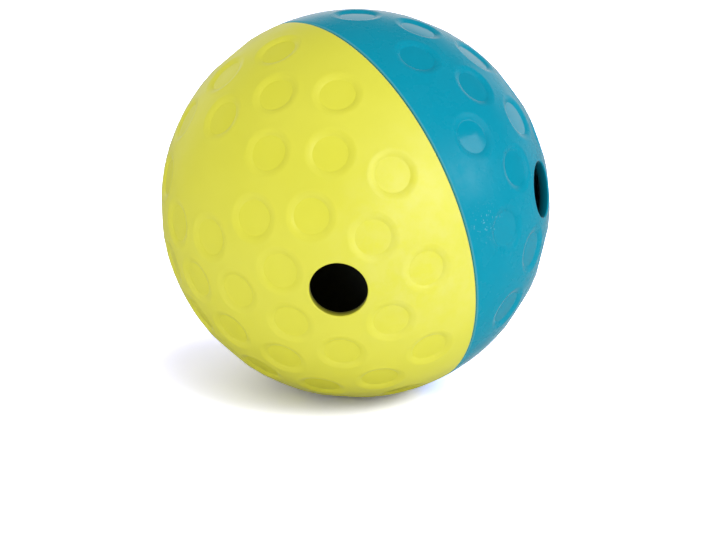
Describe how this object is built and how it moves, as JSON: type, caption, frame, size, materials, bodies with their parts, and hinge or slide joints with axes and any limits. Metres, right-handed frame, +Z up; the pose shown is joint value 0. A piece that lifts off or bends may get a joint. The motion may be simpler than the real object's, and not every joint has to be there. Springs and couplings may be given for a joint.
{
  "type": "treat dispensing ball",
  "caption": "Dimpled treat ball: lime and teal half shells push onto a keyed ring, each with a round port, round a maze of plates with windows that slows the treats.",
  "frame": {"origin": "centre of the ball", "axes": "+Z up as the ball stands on one dimple of the lime half, +X along the floor from the lime half to the teal half, -Y the side that both ports face"},
  "size_m": [0.125, 0.125, 0.124],
  "materials": {
    "lime_plastic": "satin",
    "teal_plastic": "satin",
    "maze_plastic": "satin"
  },
  "bodies": {
    "lime_half": {"lime_shell": "lime_plastic"},
    "maze": {"joining_ring": "maze_plastic", "middle_plate": "maze_plastic", "centre_post": "maze_plastic", "lime_baffle": "maze_plastic", "teal_baffle": "maze_plastic", "lime_spacer": "maze_plastic", "teal_spacer": "maze_plastic", "lime_vane": "maze_plastic", "teal_vane": "maze_plastic", "lime_sleeve": "maze_plastic", "teal_sleeve": "maze_plastic"},
    "teal_half": {"teal_shell": "teal_plastic"}
  },
  "joints": [
    {"name": "maze_lift", "type": "slide", "parent": "lime_half", "child": "maze", "axis": [0.9681, 0, 0.2504], "range_m": [0, 0.075]},
    {"name": "teal_pull", "type": "slide", "parent": "maze", "child": "teal_half", "axis": [0.9681, 0, 0.2504], "range_m": [0, 0.075]}
  ]
}
